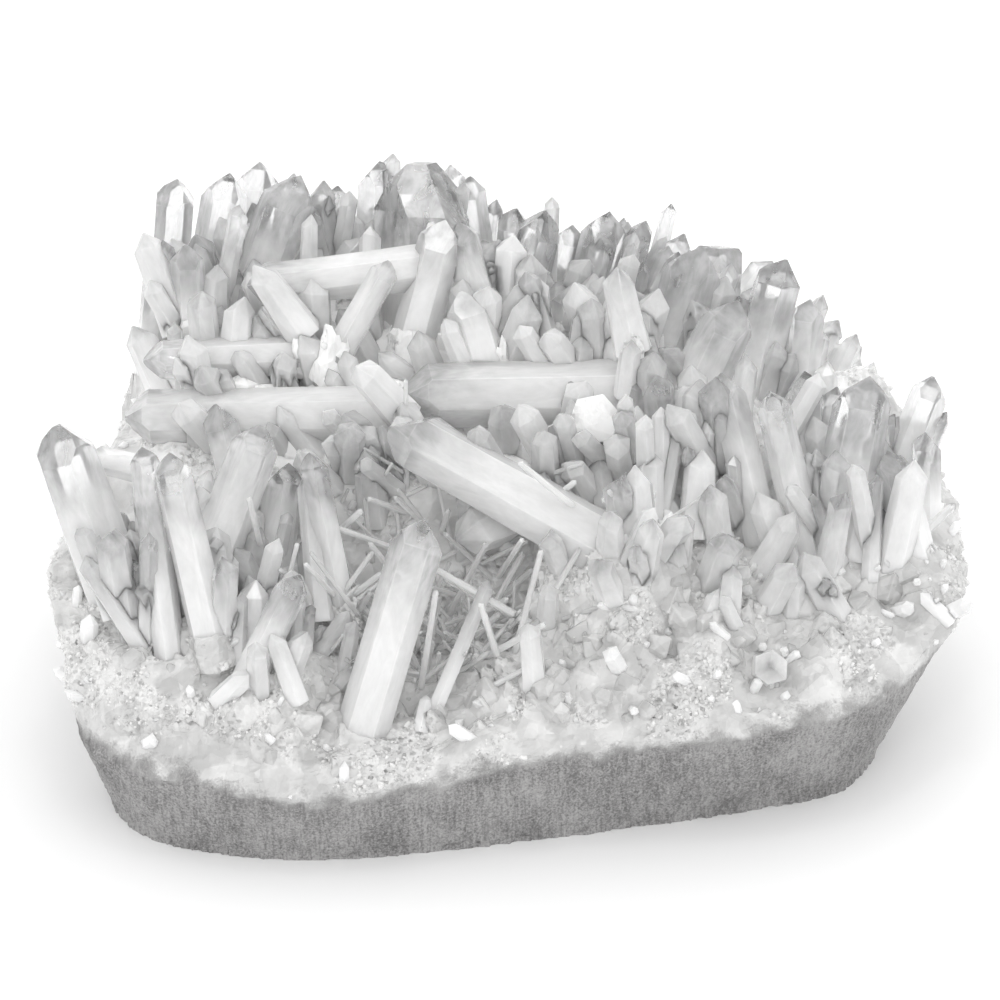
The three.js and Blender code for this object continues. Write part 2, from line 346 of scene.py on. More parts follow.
def quartz_finish(colours):
    """Crystals: glass-clear faces with a thin frost that thickens toward the root."""
    finish = Finish("glassy_quartz")
    veil = finish.streaks(4.5, 2.4)
    wisps = finish.streaks(1.2, 3.5, warp=1.2)
    cloud = finish.attribute("cloud")
    edge = finish.attribute("edge")
    frost = cloud * 0.92 + (veil - 0.5) * 0.9 * (1 - cloud * 0.75)
    steps = finish.streaks(9.0, 0.12, detail=5.0, warp=0.0)
    bump = finish.bump(steps * 0.7 + wisps * 0.35, 0.05, 0.3)
    veins = (wisps * 0.35 + veil * 0.65).between(0.34, 0.62)
    white = finish.blend(veins, shade(colours.milky, 0.97), tuple(colours.milky))
    return finish.layers(
        frost + (wisps - 0.5) * 0.1 + edge * 0.05,
        finish.glass(tuple(colours.clear), wisps.between(0.45, 0.9) * 0.1 + 0.02, bump),
        finish.milk(white, wisps * 0.14 + 0.03, 1.4, bump),
    )


def core_finish(colours):
    """The milky cores that show through the clear faces, thinning out toward the tip."""
    finish = Finish("milky_core")
    puffs = finish.grain(3.2, scale=(1, 1, 0.5), detail=5.0, rough=0.6, warp=0.7)
    thickness = finish.attribute("cloud") + (puffs - 0.5) * 1.6
    rough = puffs * 0.2 + 0.6
    return finish.show(finish.body(tuple(colours.milky), rough, Alpha=thickness.between(0.1, 0.75)))


def crust_finish(colours):
    """The matrix: icy white above, with sugary sparkling patches, and a grey sawn band; painted
    light whitens it in the hollow and among the standing crystals, and the band's grey is partly
    painted shade.
    """
    finish = Finish("milky_matrix")
    sugar = finish.attribute("sugar")
    tone = finish.attribute("tone")
    lumps = finish.grain(4.0, detail=5.0, rough=0.6)
    specks = finish.grain(0.32, detail=2.0, rough=0.7)
    patches = finish.grain(9.0)
    saw_marks = finish.grain(0.7, scale=(1.6, 1.0, 0.1), rough=0.6)
    # Where the sawn band goes: its grey is partly the cut rock's own colour and partly painted
    # shade.
    band = finish.attribute("sawn") + (specks - 0.5) * 0.9 + (lumps - 0.5) * 0.8
    sawn = band.between(0.16, 0.84)
    lightness = (
        sugar * 0.35
        + tone * 0.5
        + finish.cells(4.6, "Color") * 0.45
        + finish.cells(1.9, "Color") * 0.35
        + (lumps * 0.6 + patches * 0.4 - 0.75) * 1.6
    )
    icy = finish.blend(lightness.clamped(), shade(colours.crust, 0.6), tuple(colours.crust))
    # Painted light: the crust turns milky white in the hollow and among the standing crystals, to
    # lift the shade that falls there.
    white = finish.blend(finish.attribute("hollow_light"), icy, shade(colours.milky, 0.96))
    speckle = (specks * 0.6 + saw_marks * 0.34 + patches * 0.4).between(0.46, 0.86)
    # The sawn band's grey, speckled with grain and saw marks: partly the rock's own grey, partly
    # painted shade.
    grey = finish.blend(speckle, shade(colours.sawn, 0.42), shade(colours.sawn, 1.55))
    chunks = finish.facets(2.4, (1 - sawn) * 0.55)
    sparkles = finish.facets(0.5, (1 - sawn) * (sugar * 1.1 + 0.1), chunks)
    relief = (specks * 0.8 + saw_marks) * sawn + specks * sugar * 0.5
    body = finish.body(
        finish.blend(sawn, white, grey),
        sawn * 0.42 + 0.12 + lumps * 0.12,
        IOR=QUARTZ_IOR,
        Normal=finish.bump(relief, 0.22, 0.8, sparkles),
    )
    return finish.show(body)


def grain_finish(colours):
    """The finest grains of the crust: white, with glossy faces."""
    finish = Finish("sugar_grains")
    frost = finish.grain(0.6, detail=2.0)
    tone = finish.blend(frost.between(0.3, 0.7), shade(colours.crust, 0.9), tuple(colours.crust))
    bump = finish.bump(frost, 0.05, 0.4)
    return finish.show(finish.body(tone, frost * 0.3 + 0.08, IOR=QUARTZ_IOR, Normal=bump))


def druse_finish(colours):
    """The stubs of the crust: milky ice with glassy faces."""
    finish = Finish("sugary_quartz")
    veil = finish.grain(3.5, detail=4.0, rough=0.6, warp=0.6)
    frost = finish.grain(0.5, detail=2.0)
    bump = finish.bump(frost + finish.cells(0.5) * 0.4, 0.05, 0.4)
    return finish.layers(
        finish.attribute("cloud") * 0.3 + 0.66 + (veil - 0.5) * 0.5,
        finish.glass(tuple(colours.clear), frost.between(0.4, 0.8) * 0.16 + 0.02, bump),
        finish.milk(tuple(colours.milky), frost * 0.3 + 0.06, 1.0, bump),
    )


# ---------------------------------------------------------------- shapes


def new_piece(name, mesh, material, slot, *nodes):
    """Adds a finished mesh to the object, riding the cluster in place of any solids named."""
    piece = bpy.data.objects.new(name, mesh)
    bpy.context.scene.collection.objects.link(piece)
    mesh.materials.clear()
    mesh.materials.append(material)
    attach(piece, BODY)
    if nodes:
        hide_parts(*nodes)
    return piece


def keep_inside(points):
    """Holds points in the cluster's own box, a hair inside it."""
    low, high = (Vector(corner) for corner in CAD_BOX)
    hair = 0.02 * MM
    for point in points:
        for axis in range(3):
            floor = low[axis] + (0 if axis == 2 else hair)
            point[axis] = min(max(point[axis], floor), high[axis] - hair)


def merged_copy(node):
    """A CAD solid as joined faces, with its flat sides in one piece each."""
    bm = bmesh.new()
    bm.from_mesh(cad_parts[node].data)
    bmesh.ops.remove_doubles(bm, verts=bm.verts, dist=0.001 * MM)
    bmesh.ops.dissolve_limit(bm, angle_limit=math.radians(0.6), verts=bm.verts, edges=bm.edges)
    return bm


def axis_of(bm, lying):
    """The way a crystal points, from its longest edges, and how far its ends are along it."""
    longest = sorted(bm.edges, key=lambda edge: -edge.calc_length())[:4]
    axis = (longest[0].verts[0].co - longest[0].verts[1].co).normalized()
    toward = Vector((-1, 0, 0.3)) if lying else UP
    if axis.dot(toward) < 0:
        axis.negate()
    for edge in longest[1:]:
        along = (edge.verts[0].co - edge.verts[1].co).normalized()
        if abs(along.dot(axis)) > 0.99:
            axis += along if along.dot(axis) > 0 else -along
    axis.normalize()
    heights = [vert.co.dot(axis) for vert in bm.verts]
    return axis, min(heights), max(heights)


def cut_across(bm, axis, level, trim=0):
    """Cuts a shape across an axis, and gives the new corners.

    With trim 1 the part above the cut goes, and with -1 the part below, and the cut is closed.
    """
    made = bmesh.ops.bisect_plane(
        bm,
        geom=bm.verts[:] + bm.edges[:] + bm.faces[:],
        plane_co=axis * level,
        plane_no=axis * (trim or 1),
        clear_outer=bool(trim),
    )
    if trim:
        bmesh.ops.holes_fill(bm, edges=bm.edges)
    return [item for item in made["geom_cut"] if isinstance(item, bmesh.types.BMVert)]


def wear_edges(bm, edges, width, segments):
    """Rounds edges, and gives the new faces."""
    return bmesh.ops.bevel(
        bm,
        geom=edges,
        offset=width,
        offset_type="OFFSET",
        affect="EDGES",
        segments=segments,
        profile=0.5,
        material=-1,
        clamp_overlap=True,
    )["faces"]


def pour(source, bm):
    """Adds one shape to another, and ends it."""
    holder = bpy.data.meshes.new("holder")
    source.to_mesh(holder)
    source.free()
    bm.from_mesh(holder)
    bpy.data.meshes.remove(holder)


def write_floats(mesh, name, values):
    layer = mesh.attributes.new(name, "FLOAT", "POINT")
    layer.data.foreach_set("value", values)


def write_vectors(mesh, name, values):
    layer = mesh.attributes.new(name, "FLOAT_VECTOR", "POINT")
    layer.data.foreach_set("vector", [part for value in values for part in value])


def group_of(node):
    return node.rsplit("_", 1)[0]


def lies_down(node):
    return group_of(node) == "lying_point" and node != "lying_point_6"


def root_of(node):
    return ROOT_LENGTHS.get(node, USUAL_ROOT)


def band_top(x):
    """Height in millimetres of the sawn band's upper edge, along the width."""
    return 12.5 + 0.09 * max(0.0, x + 28) + 0.15 * max(0.0, -28 - x)


def facet_relief(point, size, seed):
    """A patchwork of tilted flat facets about size across, from -1 to 1."""
    place = point / size + Vector((seed, seed * 1.7, seed * 2.3))
    nearest = noise.voronoi(place)[1][0]
    tilt = noise.cell_vector(nearest * 7.31)
    return max(-1.0, min(1.0, (place - nearest).dot(tilt) * 1.6 + tilt.z * 0.5))


def sugariness(point):
    """1 where the crust is covered with sugar-fine crystals, 0 where it is smooth ice."""
    level = noise.noise(point * 0.12 + Vector((3, 8, 1))) + 0.45 * noise.noise(point * 0.4)
    return clamp((level - 0.02) / 0.16)


# How far rock fills a socket past the root, and how much wider it is, in millimetres.
PLUG_DEPTH, PLUG_SWELL = 0.6, 0.45


def root_plug(bm, node):
    """Fills a crystal's socket with rock up to the crystal's foot."""
    plug = merged_copy(node)
    axis, low, _ = axis_of(plug, lies_down(node))
    cut_across(plug, axis, low + (root_of(node) + PLUG_DEPTH) * MM, trim=1)
    plug.normal_update()
    for vert in plug.verts:
        vert.co += vert.normal * PLUG_SWELL * MM
    pour(plug, bm)


def remeshed(bm, name, grain):
    """The union of a bmesh's closed shapes as an even skin of small faces."""
    draft = bpy.data.meshes.new(name)
    bm.to_mesh(draft)
    bm.free()
    holder = bpy.data.objects.new(name, draft)
    bpy.context.scene.collection.objects.link(holder)
    skin = holder.modifiers.new("skin", "REMESH")
    skin.mode = "VOXEL"
    skin.voxel_size = grain
    evaluated = holder.evaluated_get(bpy.context.evaluated_depsgraph_get())
    mesh = bpy.data.meshes.new_from_object(evaluated)
    bpy.data.objects.remove(holder)
    mesh.name = name
    return mesh


def mound(point, centre, reach):
    """1 over a centre, fading with the distance from it, in millimetres."""
    across, along = (point.x - centre[0]) / reach[0], (point.y - centre[1]) / reach[1]
    return math.exp(-(across ** 2) - along ** 2)


def painted_hollow_light(point):
    """1 in the hollow and among the standing crystals, 0 on the open slopes: the share of painted
    light that whitens the crust there, to lift the shade that falls there.
    """
    hollow = mound(point, (-10, -21), (19, 9))
    behind = clamp((point.y + 16) / 10)
    above = clamp((point.z - 27) / 7)
    inland = clamp(min((36 - point.y) / 7, (54 - abs(point.x)) / 7))
    return max(hollow, behind * above * inland)


# How deep the filling is and how far the steep sides are worn back, in millimetres.
FILL_DEPTH, SIDE_WEAR = 4.0, 0.2


def filling(point, slope):
    """How far milky quartz fills the space between the standing crystals, in millimetres."""
    behind = clamp((point.y + 14) / 10)
    hollow = mound(point, (-12, -20), (14, 8))
    inland = clamp((point.z - band_top(point.x) - 8) / 8)
    uneven = 0.75 + 1.1 * noise.noise(point * 0.09)
    return FILL_DEPTH * max(behind, hollow) * inland * max(0.0, slope) * uneven


def large_crystals():
    """The axis line and the radius of every large crystal: foot, tip and radius."""
    lines = []
    for node in POINT_NODES:
        bm = merged_copy(node)
        axis, low, high = axis_of(bm, lies_down(node))
        middle = sum((vert.co for vert in bm.verts), Vector()) / len(bm.verts)
        radius = sum((vert.co - middle).cross(axis).length for vert in bm.verts) / len(bm.verts)
        foot = middle + axis * (low - middle.dot(axis))
        lines.append((foot, foot + axis * (high - low), radius))
        bm.free()
    return lines


def in_crystal(place, lines, start=0, end=1, girth=0.8):
    """Whether a place is in a large crystal, between shares of its length, and in its girth."""
    for foot, tip, radius in lines:
        nearest, share = intersect_point_line(place, foot, tip)
        if start < share < end and (place - nearest).length < radius * girth:
            return True
    return False


def crowded(spot, reach, lines, shares):
    """Whether something that grows from a spot would run into a large crystal."""
    return any(in_crystal(spot + reach * share, lines) for share in shares)


def flatten_base(mesh):
    """Makes the flat resting face of the matrix one face."""
    bm = bmesh.new()
    bm.from_mesh(mesh)
    bm.normal_update()
    flat = [face for face in bm.faces if all(vert.co.z == 0 for vert in face.verts)]
    bmesh.ops.dissolve_faces(bm, faces=flat, use_verts=False)
    bm.to_mesh(mesh)
    bm.free()


def rock_mesh(sizes):
    """The matrix: plugged, remeshed and roughened, with its sawn band marked."""
    bm = merged_copy(MATRIX_NODE)
    for node in POINT_NODES:
        root_plug(bm, node)
    mesh = remeshed(bm, "matrix_rock", sizes.rock_grain)
    relief = sizes.crust_relief
    lines = large_crystals()
    sawn, sugar, moved = [], [], []
    for vert in mesh.vertices:
        point = vert.co / MM
        edge = band_top(point.x) + 1.8 * noise.noise(point * 0.3) + 0.9 * noise.noise(point * 1.1)
        share = clamp((edge - point.z) / 3.4)
        sweet = sugariness(point) * (1 - share)
        sawn.append(share)
        sugar.append(sweet)
        if point.z < 0.4 and vert.normal.z < -0.5:
            moved.append(Vector((vert.co.x, vert.co.y, 0)))
            continue
        steep = 1 - abs(vert.normal.z)
        lumps = 0.16 * facet_relief(point, 3.4, 1) + 0.5 * noise.noise(point * 0.3)
        grains = 0.16 * facet_relief(point, 0.9, 9) * (0.04 + sweet)
        chips = max(0.0, noise.noise(point * 0.5) + 0.1) * max(0.0, 1 - point.z / 2.2)
        grain = 0.22 * noise.noise(point * 0.9) + 0.16 * noise.noise(point * 2.6)
        above = relief * (lumps + grains) * (1 - share)
        below = (grain - 0.15 - 1.1 * chips) * share * MM
        rise = filling(point, vert.normal.z)
        if rise > 0 and in_crystal(vert.co, lines, start=-0.3, end=1.05, girth=1):
            rise = 0.0
        worn = above + below - SIDE_WEAR * steep * MM
        moved.append(vert.co + vert.normal * worn + UP * rise * MM)
    keep_inside(moved)
    for vert, place in zip(mesh.vertices, moved):
        vert.co = place
    # The sawn band: where the cut rock's grey and the painted shade of the foot go.
    write_floats(mesh, "sawn", sawn)
    write_floats(mesh, "sugar", sugar)
    # Painted light: how far the crust is whitened against the shade in the hollow and among the
    # standing crystals.
    write_floats(mesh, "hollow_light", [painted_hollow_light(place / MM) for place in moved])
    write_floats(mesh, "tone", [0.5 + 0.5 * facet_relief(place / MM, 4.5, 3) for place in moved])
    flatten_base(mesh)
    mesh.update()
    return mesh


# How far below the end of its root a crystal starts, and its core, in millimetres.
CRYSTAL_FOOT, CORE_FOOT = 1.2, 0.9


def add_rings(bm, axis, foot, high, step, dice):
    """Rings of growth at uneven distances up a crystal, each a little wider or narrower."""
    length = high - foot
    ring_at = foot + length * 0.1
    while ring_at < high - length * 0.22:
        ring = cut_across(bm, axis, ring_at)
        swell = 1 + step * dice.uniform(-1, 1)
        middle = sum((vert.co for vert in ring), Vector()) / max(1, len(ring))
        for vert in ring:
            vert.co = middle + (vert.co - middle) * swell
        ring_at += length * dice.uniform(0.05, 0.16)


def point_mesh(node, sizes, seed):
    """One large crystal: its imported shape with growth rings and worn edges."""
    dice = random.Random(seed)
    bm = merged_copy(node)
    axis, low, high = axis_of(bm, lies_down(node))
    foot = low + (root_of(node) - CRYSTAL_FOOT) * MM
    cut_across(bm, axis, foot, trim=-1)
    add_rings(bm, axis, foot, high, sizes.growth_step, dice)
    bm.normal_update()
    sharp = [
        edge
        for edge in bm.edges
        if len(edge.link_faces) == 2 and edge.calc_face_angle(0) > math.radians(18)
    ]
    worn = set(wear_edges(bm, sharp, sizes.edge_round, 2))
    edge = [float(all(face in worn for face in vert.link_faces)) for vert in bm.verts]
    mesh = bpy.data.meshes.new("quartz_" + node)
    bm.to_mesh(mesh)
    bm.free()
    keep_inside([vert.co for vert in mesh.vertices])
    reach, frost, most = CORES[group_of(node)]
    frost += dice.uniform(-0.06, 0.08)
    rise = [max(0.0, (vert.co.dot(axis) - foot) / (high - foot)) for vert in mesh.vertices]
    write_floats(mesh, "cloud", [most * cloudiness(share, reach, frost) for share in rise])
    write_floats(mesh, "edge", edge)
    across = axis.orthogonal().normalized()
    turn = Matrix((across, axis.cross(across), axis))
    offset = Vector((seed * 13, seed * 7, seed * 5))
    write_vectors(mesh, "grown", [turn @ vert.co / MM + offset for vert in mesh.vertices])
    return mesh


def cloudiness(share, reach, frost):
    """How milky a crystal is at a share of its length: milky at the root, frost at the tip."""
    fade = clamp((share - reach * 0.45) / 0.5)
    return 1 - (1 - frost) * fade * fade * (3 - 2 * fade)


def add_core(bm, node, seed):
    """Adds the milky inside of one crystal to a bmesh: its own shape, narrower and shorter."""
    dice = random.Random(seed)
    core = merged_copy(node)
    axis, low, high = axis_of(core, lies_down(node))
    foot = low + (root_of(node) - CORE_FOOT) * MM
    reach = min(0.95, CORES[group_of(node)][0] + dice.uniform(-0.1, 0.06))
    top = foot + (high - foot) * reach
    ring = cut_across(core, axis, (low + high) / 2)
    centre = sum((vert.co for vert in ring), Vector()) / len(ring)
    for vert in core.verts:
        line = centre + axis * (vert.co - centre).dot(axis)
        vert.co = line + (vert.co - line) * CORE_WIDTH
    cut_across(core, axis, foot, trim=-1)
    cut_across(core, axis, top, trim=1)
    pour(core, bm)
    return axis, foot, top, centre


def cores_mesh(sizes, seed):
    """The milky cores of all the large crystals, as one mesh."""
    bm = bmesh.new()
    lines = [add_core(bm, node, seed + number) for number, node in enumerate(POINT_NODES)]
    mesh = remeshed(bm, "milky_cores", sizes.core_grain)
    cloud, moved = [], []
    for vert in mesh.vertices:
        best, share = math.inf, 0.0
        for axis, foot, top, centre in lines:
            along = vert.co.dot(axis)
            if foot - MM < along < top + MM:
                offset = vert.co - centre
                away = (offset - axis * offset.dot(axis)).length
                if away < best:
                    best, share = away, (along - foot) / (top - foot)
        cloud.append(1.15 - share ** 2)
        puff = 0.5 + 0.5 * noise.noise(vert.co / MM * 0.45)
        moved.append(vert.co - vert.normal * puff * CORE_PUFF * MM)
    for vert, place in zip(mesh.vertices, moved):
        vert.co = place
    write_floats(mesh, "cloud", cloud)
    mesh.shade_smooth()
    mesh.update()
    return mesh


class Ground:
    """The matrix's surface, for standing small crystals on."""

    def __init__(self, piece):
        self.tree = BVHTree.FromObject(piece, bpy.context.evaluated_depsgraph_get())

    def below(self, x, y):
        """The surface under a place given in millimetres, with its normal."""
        start = Vector((x * MM, y * MM, CAD_BOX[1][2] + MM))
        spot, normal, *_ = self.tree.ray_cast(start, -UP)
        return spot, normal


def small_crystal(slimness, dice, worn=False):
    """A template one millimetre wide and slimness millimetres long, standing on the origin."""
    bm = bmesh.new()
    sunk = 0.35
    tip_height = 0.62
    shaft = max(0.2, slimness - tip_height) + sunk
    bmesh.ops.create_cone(
        bm,
        cap_ends=True,
        cap_tris=False,
        segments=6,
        radius1=0.53,
        radius2=0.53 * dice.uniform(0.8, 0.95),
        depth=shaft,
        matrix=Matrix.Translation((0, 0, shaft / 2 - sunk)),
    )
    top = max(bm.faces, key=lambda face: face.calc_center_median().z)
    rim = list(top.verts)
    for number, vert in enumerate(rim):
        vert.co.z += dice.uniform(-0.22, 0.02) if number % 2 else dice.uniform(-0.02, 0.12)
        vert.co.xy *= dice.uniform(0.88, 1.06)
    peak = bmesh.ops.poke(bm, faces=[top], offset=0.0, center_mode="MEAN")["verts"][0]
    height = max(vert.co.z for vert in rim) + 0.4
    peak.co = Vector((dice.uniform(-0.14, 0.14), dice.uniform(-0.14, 0.14), height))
    if worn:
        sharp = [edge for edge in bm.edges if any(vert.co.z > -sunk for vert in edge.verts)]
        wear_edges(bm, sharp, 0.02, 1)
    bm.verts.index_update()
    points = [vert.co.copy() for vert in bm.verts]
    faces = [[vert.index for vert in face.verts] for face in bm.faces]
    bm.free()
    return points, faces, slimness


class Thicket:
    """Many copies of a few templates, gathered into one mesh."""

    def __init__(self, name):
        self.name = name
        self.points, self.faces, self.cloud, self.grown, self.tone = [], [], [], [], []

    def grow(self, template, foot, way, width, spin, milk):
        points, faces, slimness = template
        turn = UP.rotation_difference(way) @ Quaternion(UP, spin)
        place = Matrix.LocRotScale(foot, turn, (width, width, width))
        start = len(self.points)
        self.points.extend(place @ point for point in points)
        self.faces.extend([start + corner for corner in face] for face in faces)
        for point in points:
            self.cloud.append(cloudiness(point.z / slimness, 0.8, milk))
            self.grown.append(point * (width / MM) + Vector((start, start * 0.37, 0)))
            self.tone.append(milk)

    def mesh(self):
        keep_inside(self.points)
        mesh = bpy.data.meshes.new(self.name)
        mesh.from_pydata(self.points, [], self.faces)
        write_floats(mesh, "cloud", self.cloud)
        write_vectors(mesh, "grown", self.grown)
        write_floats(mesh, "tone", self.tone)
        mesh.update()
        return mesh


def template_set(slimnesses, seed, worn=False, each=3):
    dice = random.Random(seed)
    return [small_crystal(slim, dice, worn) for slim in slimnesses for _ in range(each)]


# Places that stated small crystals stand at: foot, tip and width in millimetres.
STATED_POINTS = {
    "small_points_back": [
        ((20.5, 28, 36), (20.5, 30, 47.5), 3.9),
        ((43.5, 4, 37), (43.5, 7, 46), 3.9),
        ((41, -2, 31), (45, 1, 45), 4.2),
        ((56, -12, 29), (60, -12.5, 34), 1.3),
    ],
    "small_points_middle": [
        ((-3, 3, 37), (-4.5, 5, 46), 2.4),
        ((20, 13, 44.5), (-10.5, 11, 44.5), 3.8),
        ((-27, 7, 44), (-34, 9, 53), 1.1),
        ((-1.5, -14, 32), (-8, -20, 32.5), 6.8),
        ((22, -14, 31), (16, -10, 40), 5.4),
    ],
    "small_points_front": [
        ((-50, -12, 39), (-57, -13, 41.5), 3.8),
        ((-25, -26, 25), (-27, -16, 41), 3.5),
        ((-35, -22, 25), (-33, -18, 34), 3.6),
        ((-10, -38, 17), (-2.5, -27, 31), 2.2),
        ((34, -32, 20), (34, -38.5, 24.5), 5.4),
    ],
}

# Where smaller crystals stand thickly: centre, half extents, how many, their lengths and
# widths, and the way they lean, all in millimetres.
THICKETS = {
    "small_points_back": [
        ((-36, 26), (11, 9), 40, (8, 17), (2.6, 5.2), (0.05, 0.1, 1)),
        ((-12, 32), (16, 7), 36, (7, 15), (2.4, 5), (0.05, 0.15, 1)),
        ((12, 27), (14, 8), 38, (7, 15), (2.6, 5.2), (0.25, 0.15, 1)),
        ((31, 14), (11, 10), 34, (7, 14), (2.8, 5.4), (0.25, 0.2, 1)),
        ((49, -6), (8, 9), 26, (6, 11), (2.4, 4.6), (0.2, 0.2, 1)),
        ((-16, 43), (28, 6), 44, (5, 11), (2, 4.6), (-0.1, 0.7, 0.7)),
        ((30, 35), (20, 7), 36, (4, 9), (2, 4.6), (0.4, 0.7, 0.7)),
        ((42, 24), (8, 8), 18, (3, 5), (2, 4), (0.6, 0.5, 0.7)),
    ],
    "small_points_middle": [
        ((-30, 14), (20, 6), 40, (6, 14), (2.6, 5.4), (-0.3, 0.1, 1)),
        ((4, 15), (20, 6), 40, (7, 15), (2.8, 5.8), (0.1, 0.1, 1)),
        ((-20, 2), (26, 7), 36, (5, 10), (2.8, 5.6), (-0.5, -0.2, 1)),
        ((16, 0), (16, 10), 40, (6, 13), (2.6, 5.6), (-0.2, 0.1, 1)),
        ((-6, -8), (24, 5), 36, (6, 13), (2, 4.8), (-0.3, -0.5, 1)),
    ],
    "small_points_front": [
        ((34, -12), (22, 8), 60, (8, 17), (2.4, 5.2), (-0.1, 0.2, 1)),
        ((-40, -24), (14, 10), 44, (7, 16), (2.2, 5), (-0.1, 0.1, 1)),
        ((-28, -35), (14, 7), 26, (5, 11), (1.8, 4), (0.2, -0.1, 1)),
        ((-8, -37), (14, 5), 20, (4, 9), (1.4, 3.4), (0.2, 0.0, 1)),
        ((28, -26), (26, 6), 30, (4, 9), (2.0, 5), (0.0, -0.3, 1)),
    ],
}

# How milky the smaller crystals of each piece are, from 0 to 1, and how milky the stated are.
SMALL_MILK = {
    "small_points_back": (0.1, 0.5),
    "small_points_middle": (0.25, 0.75),
    "small_points_front": (0.15, 0.7),
}
STATED_MILK = 0.3


def scattered_way(lean, spread, dice):
    """A random direction near the one given."""
    sideways = Vector((dice.gauss(0, spread), dice.gauss(0, spread), 0))
    return (Vector(lean) + sideways).normalized()


def place_in(centre, extent, dice):
    """A random place in an oval, in millimetres."""
    angle, reach = dice.uniform(0, math.tau), math.sqrt(dice.random())
    x = centre[0] + extent[0] * reach * math.cos(angle)
    y = centre[1] + extent[1] * reach * math.sin(angle)
    return x, y


def grow_small_points(name, ground, seed):
    """The smaller crystals of one piece: the stated ones, then the scattered ones."""
    dice = random.Random(seed)
    lines = large_crystals()
    templates = template_set((2.2, 3.0, 4.0, 5.4), seed, worn=True)
    thicket = Thicket(name)
    for foot, tip, width in STATED_POINTS[name]:
        foot, tip = Vector(foot) * MM, Vector(tip) * MM
        slim = (tip - foot).length / (width * MM)
        shape = small_crystal(slim, dice, worn=True)
        way = (tip - foot).normalized()
        spin = dice.uniform(0, math.tau)
        thicket.grow(shape, foot, way, width * MM, spin, STATED_MILK)
    for centre, extent, count, lengths, widths, lean in THICKETS[name]:
        for _ in range(count):
            x, y = place_in(centre, extent, dice)
            spot, normal = ground.below(x, y)
            width = dice.uniform(*widths)
            length = dice.uniform(*lengths)
            spin = dice.uniform(0, math.tau)
            way = scattered_way(lean, 0.24, dice)
            milk = dice.uniform(*SMALL_MILK[name])
            if spot is None or normal.z < 0.15 or spot.z < (band_top(x) + 5) * MM:
                continue
            if crowded(spot, way * length * MM, lines, (0.3, 0.65, 1)):
                continue
            slim = length / width
            template = min(templates, key=lambda entry: abs(entry[2] - slim) + dice.random() * 0.6)
            thicket.grow(template, spot, way, width * MM, spin, milk)
    return thicket.mesh()


# Where half-buried lumps thicken the crust: centre, half extents, how many, and their widths
# and how far they stand out, all in millimetres.
LUMP_FIELDS = (
    ((28, -28), (36, 17), 520, (2.4, 8), (0.5, 3.2)),
    ((-30, -33), (30, 17), 380, (2.2, 7), (0.5, 3.0)),
    ((-8, -34), (20, 10), 70, (2, 4.5), (0.2, 1.2)),
    ((-4, 6), (50, 12), 260, (4, 9), (1.5, 6)),
    ((0, 30), (54, 16), 260, (3, 8), (0.6, 4)),
)
# The lumps that are thrown at the crust from all round: how many, the heights that they come
# from, and then their widths and how far they stand out.
RIM_LUMPS, RIM_HEIGHTS, RIM_WIDTHS, RIM_RISES = 420, (15, 34), (2.4, 6.5), (0.2, 1.6)
DROP_FROM, THROW_FROM = 80, 100
LUMP_SPREAD = 0.5


class Lumps:
    """Half-buried worn crystals that make up the crust, gathered front and back."""

    def __init__(self, rock, seed):
        self.dice = random.Random(seed)
        self.surface = Ground(rock).tree
        self.templates = template_set((1.3, 1.7, 2.2), seed, worn=True)
        self.thickets = Thicket("crust_lumps_front"), Thicket("crust_lumps_back")

    def bury(self, start, way, widths, heights):
        """Sets one lump where a ray meets the crust, unless its foot would show."""
        dice = self.dice
        spot, normal, *_ = self.surface.ray_cast(start, way)
        width, stands = dice.uniform(*widths), dice.uniform(*heights)
        lean = Vector(dice.gauss(0, LUMP_SPREAD) for _ in range(3))
        template, spin = dice.choice(self.templates), dice.uniform(0, math.tau)
        if spot is None or spot.z < (band_top(spot.x / MM) + 1.5) * MM:
            return
        out = (normal * 0.8 + UP * 0.45 + lean).normalized()
        foot = spot + out * (stands - template[2] * width) * MM
        nearest, outward, *_ = self.surface.find_nearest(foot)
        if (foot - nearest).dot(outward) < -0.75 * width * MM:
            tone = dice.random()
            self.thickets[spot.y > 0].grow(template, foot, out, width * MM, spin, tone)

    def grow(self):
        """Drops lumps on every field, and then throws some from all round."""
        dice = self.dice
        for centre, extent, count, widths, heights in LUMP_FIELDS:
            for _ in range(count):
                x, y = place_in(centre, extent, dice)
                self.bury(Vector((x, y, DROP_FROM)) * MM, -UP, widths, heights)
        for _ in range(RIM_LUMPS):
            angle = dice.uniform(0, math.tau)
            out = Vector((math.cos(angle), math.sin(angle), 0))
            start = (out * THROW_FROM + UP * dice.uniform(*RIM_HEIGHTS)) * MM
            self.bury(start, -out, RIM_WIDTHS, RIM_RISES)
        return [thicket.mesh() for thicket in self.thickets]


def mark_crust(mesh):
    """Writes where a mesh in the crust is sugary, and where painted light whitens it against the
    shade in the hollow and among the standing crystals.
    """
    points = [vert.co / MM for vert in mesh.vertices]
    write_floats(mesh, "sugar", [sugariness(point) for point in points])
    write_floats(mesh, "hollow_light", [painted_hollow_light(point) for point in points])


# The small growth on the crust: its piece, its seed, how many, their widths in millimetres,
# their lengths as multiples of the width, whether it keeps to the sugary parts, and whether it
# is in front.
CRUST_LAYERS = (
    ("crust_stubs_front", 201, 420, (0.8, 2.0), (1.1, 1.6, 2.4), False, True),
    ("crust_stubs_back", 202, 300, (1.0, 2.4), (1.1, 1.6, 2.4), False, False),
    ("crust_grains_front", 203, 4600, (0.25, 0.6), (0.9, 1.2), True, True),
    ("crust_grains_back", 204, 3000, (0.3, 0.7), (0.9, 1.2), True, False),
)


